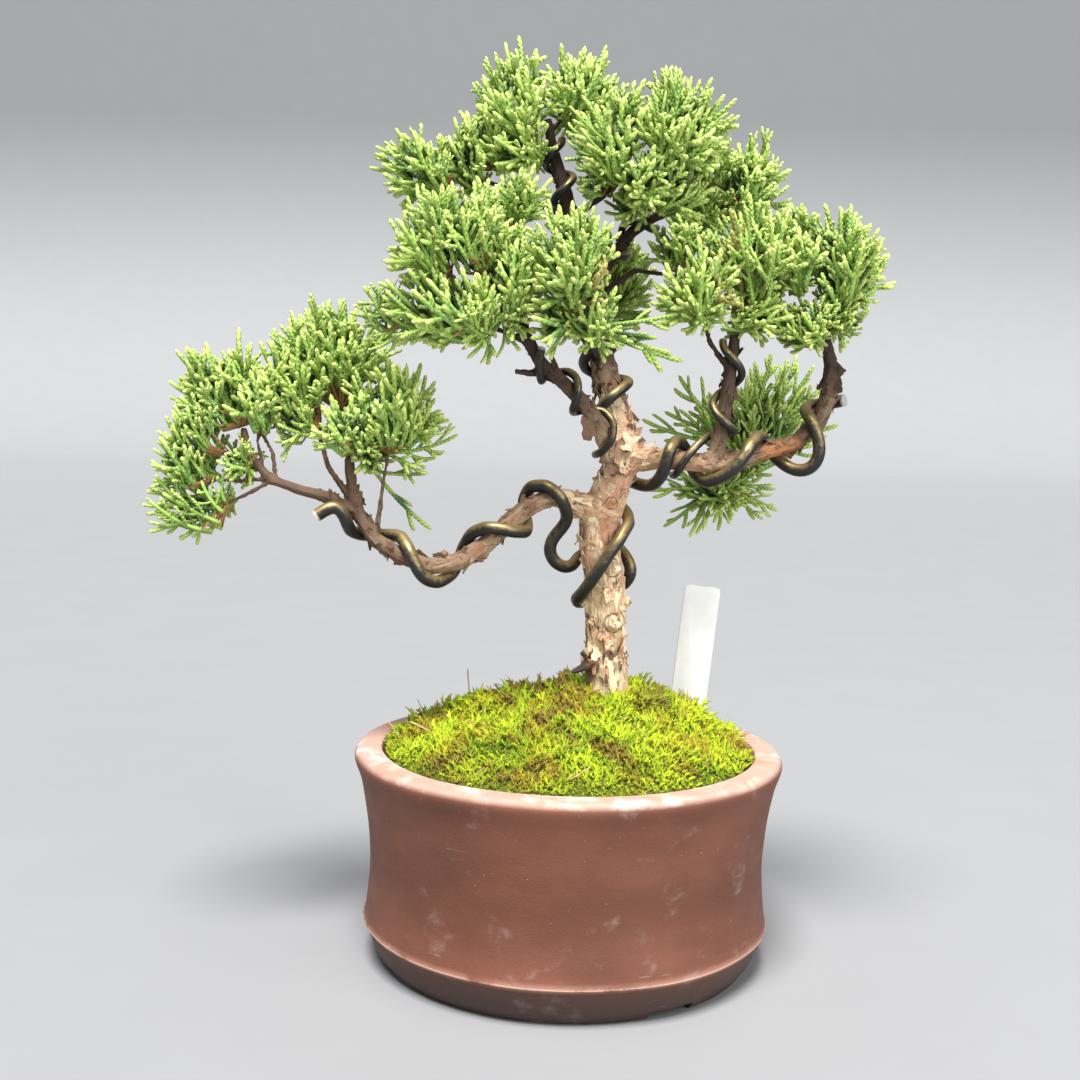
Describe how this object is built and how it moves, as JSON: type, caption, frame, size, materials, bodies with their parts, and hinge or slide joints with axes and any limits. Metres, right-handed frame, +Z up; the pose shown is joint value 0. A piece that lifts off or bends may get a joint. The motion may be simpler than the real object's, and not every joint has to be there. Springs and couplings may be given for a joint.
{
  "type": "potted bonsai",
  "caption": "Kishu juniper bonsai with a wired trunk and branches, pads of scale-leaved shoots, a moss carpet and a plain plant label, in a round unglazed training pot.",
  "frame": {"origin": "bottom centre of the whole object's bounding box, on the surface that the pot's foot rests on", "axes": "+Z up the trunk, +X to the right across the tree's front, +Y away from the viewer"},
  "size_m": [0.2348, 0.1358, 0.2882],
  "materials": {
    "clay": "unglazed, matt, with pale mineral marks",
    "mesh": "matt",
    "soil": "granular",
    "moss": "fuzzy",
    "label": "satin",
    "bark": "flaking bark",
    "wire": "anodised, dark bronze",
    "foliage": "matt scale leaves"
  },
  "bodies": {
    "root": {"pot": "clay", "drain_screen": "mesh", "soil": "soil", "moss_carpet": "moss", "plant_label": "label", "trunk_and_branches": "bark", "wire_trunk": "wire", "wire_left_branch": "wire", "wire_right_branch": "wire", "wire_upper_trunk": "wire", "wire_upper_left": "wire", "wire_right_upright": "wire", "wire_grey_branch": "wire", "wire_apex": "wire", "foliage_left_tip": "foliage", "foliage_left_dome": "foliage", "foliage_front_left": "foliage", "foliage_front_centre": "foliage", "foliage_upper_left": "foliage", "foliage_apex": "foliage", "foliage_crown_right": "foliage", "foliage_high_right": "foliage", "foliage_right_inner": "foliage", "foliage_right_outer": "foliage", "foliage_right_back": "foliage", "foliage_back": "foliage"}
  },
  "joints": []
}
